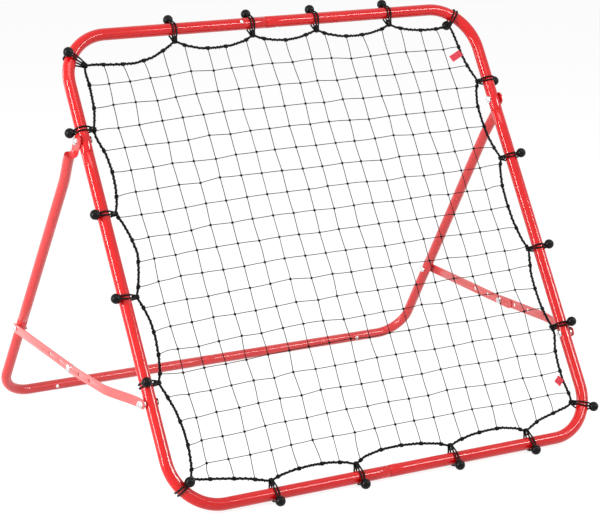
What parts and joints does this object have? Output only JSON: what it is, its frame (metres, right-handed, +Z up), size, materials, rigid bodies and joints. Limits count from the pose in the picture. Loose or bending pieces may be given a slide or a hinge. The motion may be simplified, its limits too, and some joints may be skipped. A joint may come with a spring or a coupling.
{
  "type": "rebounder net",
  "caption": "Folding rebounder: a leaning square tube frame with an elastic-tied rope net, propped by a hinged U-shaped rear stand and jointed flat side struts.",
  "frame": {"origin": "on the ground, at the middle of the object's footprint", "axes": "+X to the right for someone who faces the net's front, along the frame's top and bottom tubes; +Y towards the rear stand; +Z up"},
  "size_m": [1.068, 0.8433, 0.8593],
  "materials": {
    "red_powder_coat": "glossy powder coat",
    "black_cord": "matt twisted cord",
    "black_ball": "glossy moulded ball with elastic cord",
    "zinc": "bright zinc plating",
    "red_ribbon": "woven ribbon"
  },
  "bodies": {
    "front_frame": {"frame_upper_left": "red_powder_coat", "frame_upper_right": "red_powder_coat", "frame_lower_left": "red_powder_coat", "frame_lower_right": "red_powder_coat", "net": "black_cord", "border_rope": "black_cord", "tie_top_left": "black_ball", "tie_top_1": "black_ball", "tie_top_2": "black_ball", "tie_top_3": "black_ball", "tie_top_4": "black_ball", "tie_top_right": "black_ball", "tie_right_1": "black_ball", "tie_right_2": "black_ball", "tie_right_3": "black_ball", "tie_right_4": "black_ball", "tie_bottom_right": "black_ball", "tie_bottom_1": "black_ball", "tie_bottom_2": "black_ball", "tie_bottom_3": "black_ball", "tie_bottom_4": "black_ball", "tie_bottom_left": "black_ball", "tie_left_1": "black_ball", "tie_left_2": "black_ball", "tie_left_3": "black_ball", "tie_left_4": "black_ball", "tag_upper": "red_ribbon", "tag_lower": "red_ribbon", "pivot_bolt_left": "zinc", "pivot_bolt_right": "zinc", "pivot_nut_left": "zinc", "pivot_nut_right": "zinc", "strut_frame_bolt_left": "zinc", "strut_frame_bolt_right": "zinc", "strut_frame_nut_left": "zinc", "strut_frame_nut_right": "zinc", "strut_spacer_left": "zinc", "strut_spacer_right": "zinc", "top_joint_screw": "zinc", "top_joint_rivet": "zinc", "bottom_joint_rivet": "zinc"},
    "rear_stand": {"stand_leg_left": "red_powder_coat", "stand_leg_right": "red_powder_coat", "stand_base_left": "red_powder_coat", "stand_base_right": "red_powder_coat", "strut_stand_bolt_left": "zinc", "strut_stand_bolt_right": "zinc", "strut_stand_nut_left": "zinc", "strut_stand_nut_right": "zinc", "base_joint_screw": "zinc", "base_button_left": "zinc", "base_button_right": "zinc"},
    "strut_front_left": {"strut_front_bar_left": "red_powder_coat", "knee_bolt_left": "zinc"},
    "strut_front_right": {"strut_front_bar_right": "red_powder_coat", "knee_bolt_right": "zinc"},
    "strut_rear_left": {"strut_rear_bar_left": "red_powder_coat", "knee_nut_left": "zinc"},
    "strut_rear_right": {"strut_rear_bar_right": "red_powder_coat", "knee_nut_right": "zinc"}
  },
  "joints": [
    {"name": "stand_fold", "type": "hinge", "parent": "front_frame", "child": "rear_stand", "pos_m": [0, 0.0222, 0.6491], "axis": [-1, 0, 0], "range_deg": [0, 56]},
    {"name": "strut_front_fold_left", "type": "hinge", "parent": "front_frame", "child": "strut_front_left", "pos_m": [-0.506, -0.27109, 0.19747], "axis": [1, 0, 0], "range_deg": [0, 56]},
    {"name": "strut_front_fold_right", "type": "hinge", "parent": "front_frame", "child": "strut_front_right", "pos_m": [0.506, -0.27109, 0.19747], "axis": [1, 0, 0], "range_deg": [0, 56]},
    {"name": "strut_rear_fold_left", "type": "hinge", "parent": "rear_stand", "child": "strut_rear_left", "pos_m": [-0.526, 0.30019, 0.19259], "axis": [-1, 0, 0], "range_deg": [0, 56]},
    {"name": "strut_rear_fold_right", "type": "hinge", "parent": "rear_stand", "child": "strut_rear_right", "pos_m": [0.526, 0.30019, 0.19259], "axis": [-1, 0, 0], "range_deg": [0, 56]}
  ],
  "couplings": [
    {"joint": "strut_front_fold_left", "follows": "stand_fold", "ratio": 0.9848},
    {"joint": "strut_front_fold_right", "follows": "stand_fold", "ratio": 0.9848},
    {"joint": "strut_rear_fold_left", "follows": "stand_fold", "ratio": 0.9994},
    {"joint": "strut_rear_fold_right", "follows": "stand_fold", "ratio": 0.9994}
  ]
}
